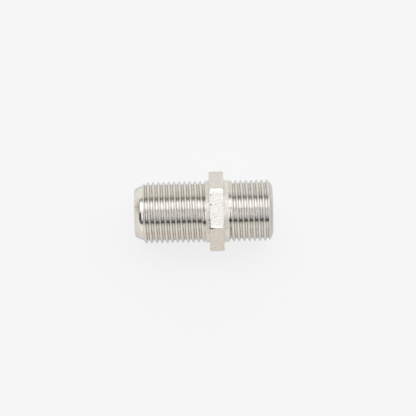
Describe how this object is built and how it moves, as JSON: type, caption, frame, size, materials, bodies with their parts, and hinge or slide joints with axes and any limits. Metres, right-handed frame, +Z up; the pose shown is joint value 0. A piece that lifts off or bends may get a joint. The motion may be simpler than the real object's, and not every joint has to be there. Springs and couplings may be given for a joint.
{
  "type": "coaxial f coupler",
  "caption": "Straight nickel-plated female to female F coupler: a long and a short threaded barrel on a hexagon flange, with a sprung centre contact in plastic insulators.",
  "frame": {"origin": "on the connector's axis, in the flange's face towards the long barrel", "axes": "+X along the axis towards the short barrel, +Z up, with a flat of the hexagon facing down"},
  "size_m": [0.0209, 0.0122, 0.0106],
  "materials": {
    "nickel_plate": "gloss",
    "insulator": "satin",
    "contact": "satin"
  },
  "bodies": {
    "root": {"body": "nickel_plate", "insulator_long": "insulator", "insulator_short": "insulator", "centre_contact": "contact"}
  },
  "joints": []
}
